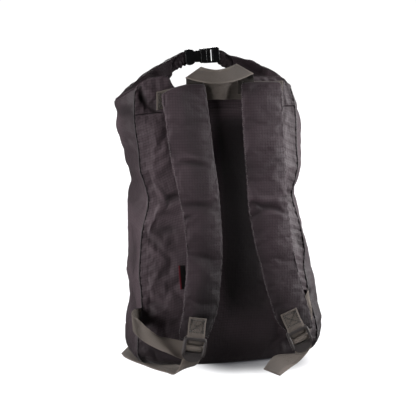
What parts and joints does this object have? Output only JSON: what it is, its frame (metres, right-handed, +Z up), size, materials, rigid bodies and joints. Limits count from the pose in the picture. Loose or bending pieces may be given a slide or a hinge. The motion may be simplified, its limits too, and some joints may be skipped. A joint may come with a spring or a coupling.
{
  "type": "roll-top backpack",
  "caption": "Upright soft backpack with a rolled top clipped into a ring, padded shoulder straps, webbing adjusters and a grab handle on its back panel.",
  "frame": {"origin": "on the floor, in the middle of the base panel's underside", "axes": "+Z up from the floor, +X to the right as the straps are seen, -Y from the back panel towards the wearer"},
  "size_m": [0.3073, 0.2221, 0.4442],
  "materials": {
    "shell_cloth": "coated ripstop, slight sheen",
    "strap_cloth": "ripstop over foam, matte",
    "webbing": "woven nylon webbing, matte",
    "piping": "bound cord, matte",
    "buckle_plastic": "moulded, glossy",
    "lock_plastic": "moulded, satin",
    "label_cloth": "folded tape, bare"
  },
  "bodies": {
    "root": {"back_panel": "shell_cloth", "back_yoke": "shell_cloth", "side_panel_left": "shell_cloth", "side_panel_right": "shell_cloth", "front_panel": "shell_cloth", "base_panel": "shell_cloth", "collar": "shell_cloth", "roll_top": "shell_cloth", "back_piping": "piping", "buckle_socket": "buckle_plastic", "buckle_plug": "buckle_plastic", "buckle_tab_left": "webbing", "buckle_tab_right": "webbing", "yoke_band": "webbing", "grab_handle": "webbing", "shoulder_strap_left": "strap_cloth", "shoulder_strap_right": "strap_cloth", "strap_tab_left": "webbing", "strap_tab_right": "webbing", "ladder_lock_left": "lock_plastic", "ladder_lock_right": "lock_plastic", "adjuster_left": "webbing", "adjuster_right": "webbing", "side_label": "label_cloth"}
  },
  "joints": []
}
